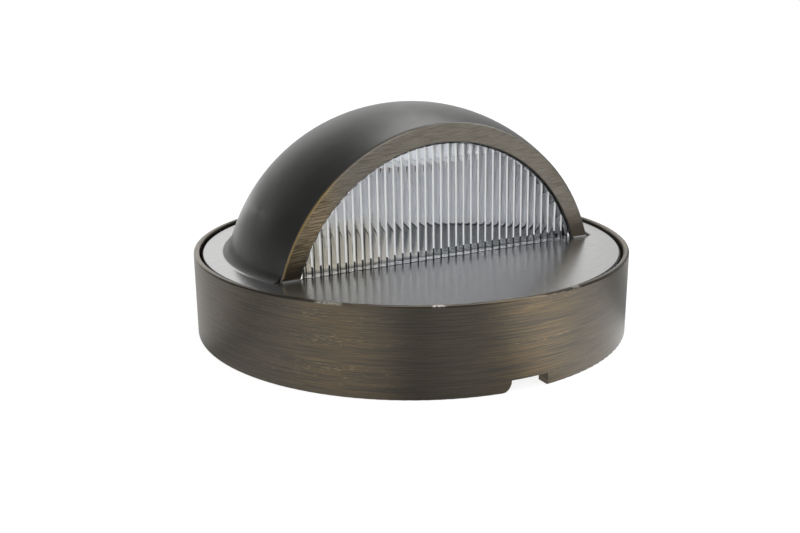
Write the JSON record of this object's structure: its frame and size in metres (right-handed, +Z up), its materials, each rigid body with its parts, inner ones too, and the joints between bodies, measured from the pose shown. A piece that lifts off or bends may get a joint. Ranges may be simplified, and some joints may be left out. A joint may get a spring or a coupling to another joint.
{
  "type": "deck light",
  "caption": "Low round surface deck light: a turned ring, a turnable cover plate with a half-dome hood, and an upright window of clear ribbed glass.",
  "frame": {"origin": "on the deck, at the centre of the ring's lower edge", "axes": "+Z up, away from the deck; the window faces -Y; +X is to the right of someone who faces the window"},
  "size_m": [0.102, 0.102, 0.052],
  "materials": {
    "ring_bronze": "antique bronze, brushed round the ring",
    "hood_bronze": "antique bronze, satin, with brushed flats and worn edges",
    "ribbed_glass": "clear, with upright ribs on the front",
    "black_rubber": "matte silicone",
    "screw_steel": "plain stainless steel",
    "alloy": "satin",
    "white_plastic": "moulded, glossy white",
    "baffle_grey": "satin grey paint",
    "thermal_pad": "soft pad",
    "board_white": "white solder mask on an aluminium core",
    "led_phosphor": "yellow phosphor gel",
    "pillar_brass": "turned",
    "board_green": "green solder mask",
    "black_plastic": "moulded black",
    "capacitor_sleeve": "shrink sleeve",
    "inductor_wire": "enamelled copper winding on a ferrite core",
    "terminal_green": "moulded",
    "lead_red": "insulation",
    "lead_black": "insulation"
  },
  "bodies": {
    "base": {"base_ring": "ring_bronze", "cable_grommet": "black_rubber"},
    "clamp_screw": {"set_screw": "screw_steel"},
    "seat_gasket": {"cover_gasket": "black_rubber"},
    "head": {"hood_cover": "hood_bronze", "lens": "ribbed_glass", "lens_gasket": "black_rubber", "lens_bar": "alloy", "lens_bar_screws": "screw_steel", "reflector": "white_plastic", "floor_plate": "baffle_grey", "heat_sink": "alloy", "thermal_pad": "thermal_pad", "led_board": "board_white", "led_chips": "led_phosphor", "led_board_screws": "screw_steel", "gear_tray": "alloy", "tray_gasket": "black_rubber", "tray_screws": "screw_steel", "heat_sink_screws": "screw_steel", "tray_grommet": "black_rubber", "board_pillars": "pillar_brass", "board_screws": "screw_steel", "driver_board": "board_green", "bridge_rectifier": "black_plastic", "smoothing_capacitor": "capacitor_sleeve", "inductor": "inductor_wire", "driver_chip": "black_plastic", "terminal_block": "terminal_green", "terminal_screws": "screw_steel", "led_lead_positive": "lead_red", "led_lead_negative": "lead_black"}
  },
  "joints": [
    {"name": "head_turn", "type": "hinge", "parent": "base", "child": "seat_gasket", "pos_m": [0, 0, 0.0149], "axis": [0, 0, 1], "range_deg": [-170, 170]},
    {"name": "head_lift", "type": "slide", "parent": "seat_gasket", "child": "head", "axis": [0, 0, 1], "range_m": [0, 0.03]},
    {"name": "screw_out", "type": "slide", "parent": "base", "child": "clamp_screw", "axis": [0, 1, 0], "range_m": [0, 0.002]}
  ]
}
